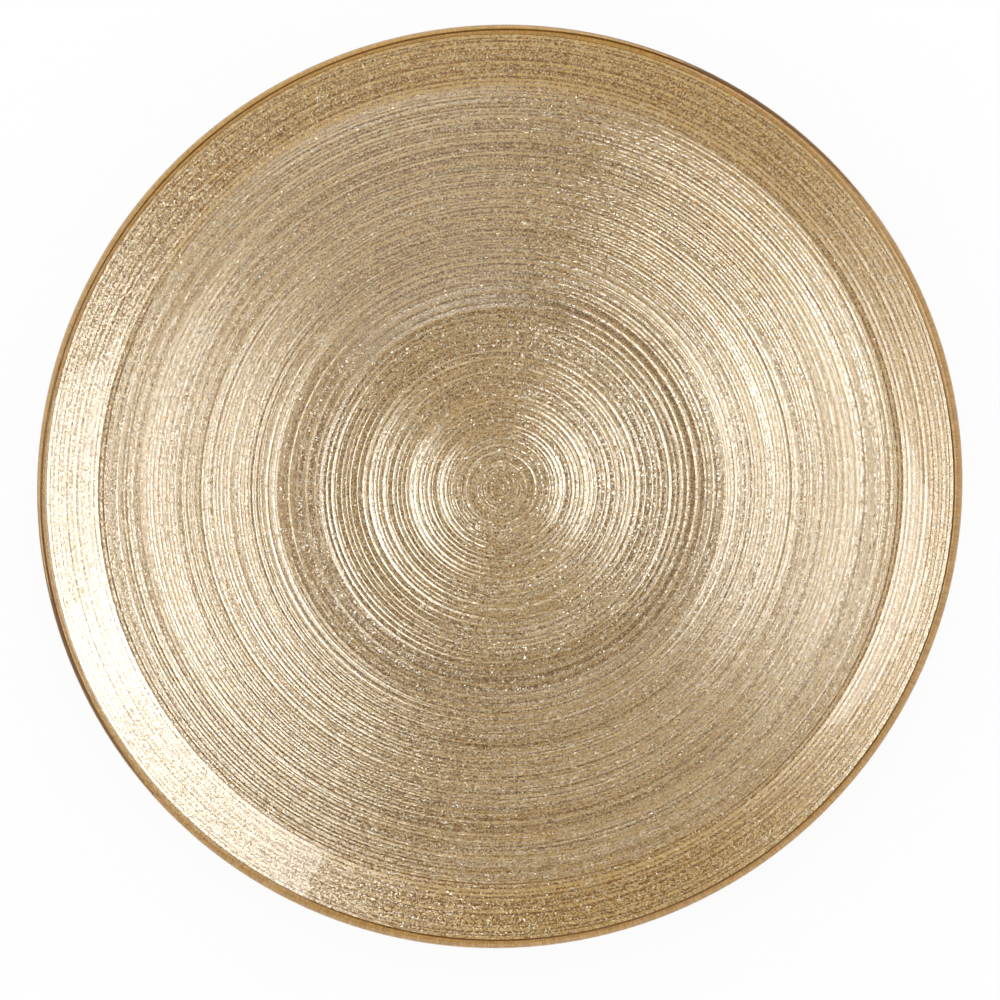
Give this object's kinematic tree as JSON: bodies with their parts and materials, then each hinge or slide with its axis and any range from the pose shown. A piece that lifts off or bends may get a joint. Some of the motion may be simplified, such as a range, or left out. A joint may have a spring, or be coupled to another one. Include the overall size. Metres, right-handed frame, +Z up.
{
  "type": "glass dinner plate",
  "caption": "Round dinner plate of clear pressed glass with a flat well, a broad sloping rim and a raised lip, backed with gold glitter lacquer under a protective coat.",
  "frame": {"origin": "middle of the flat base, on the surface that the plate stands on", "axes": "+Z up along the plate's axis; +X and +Y in the plane of the base"},
  "size_m": [0.28, 0.28, 0.0184],
  "materials": {
    "clear_glass": "fire-polished clear pressed glass",
    "gold_glitter": "metallic champagne gold lacquer with fine glitter, in turned rings",
    "satin_gold": "satin gold protective lacquer"
  },
  "bodies": {
    "root": {"glass_body": "clear_glass", "gold_lacquer": "gold_glitter", "back_coat": "satin_gold"}
  },
  "joints": []
}
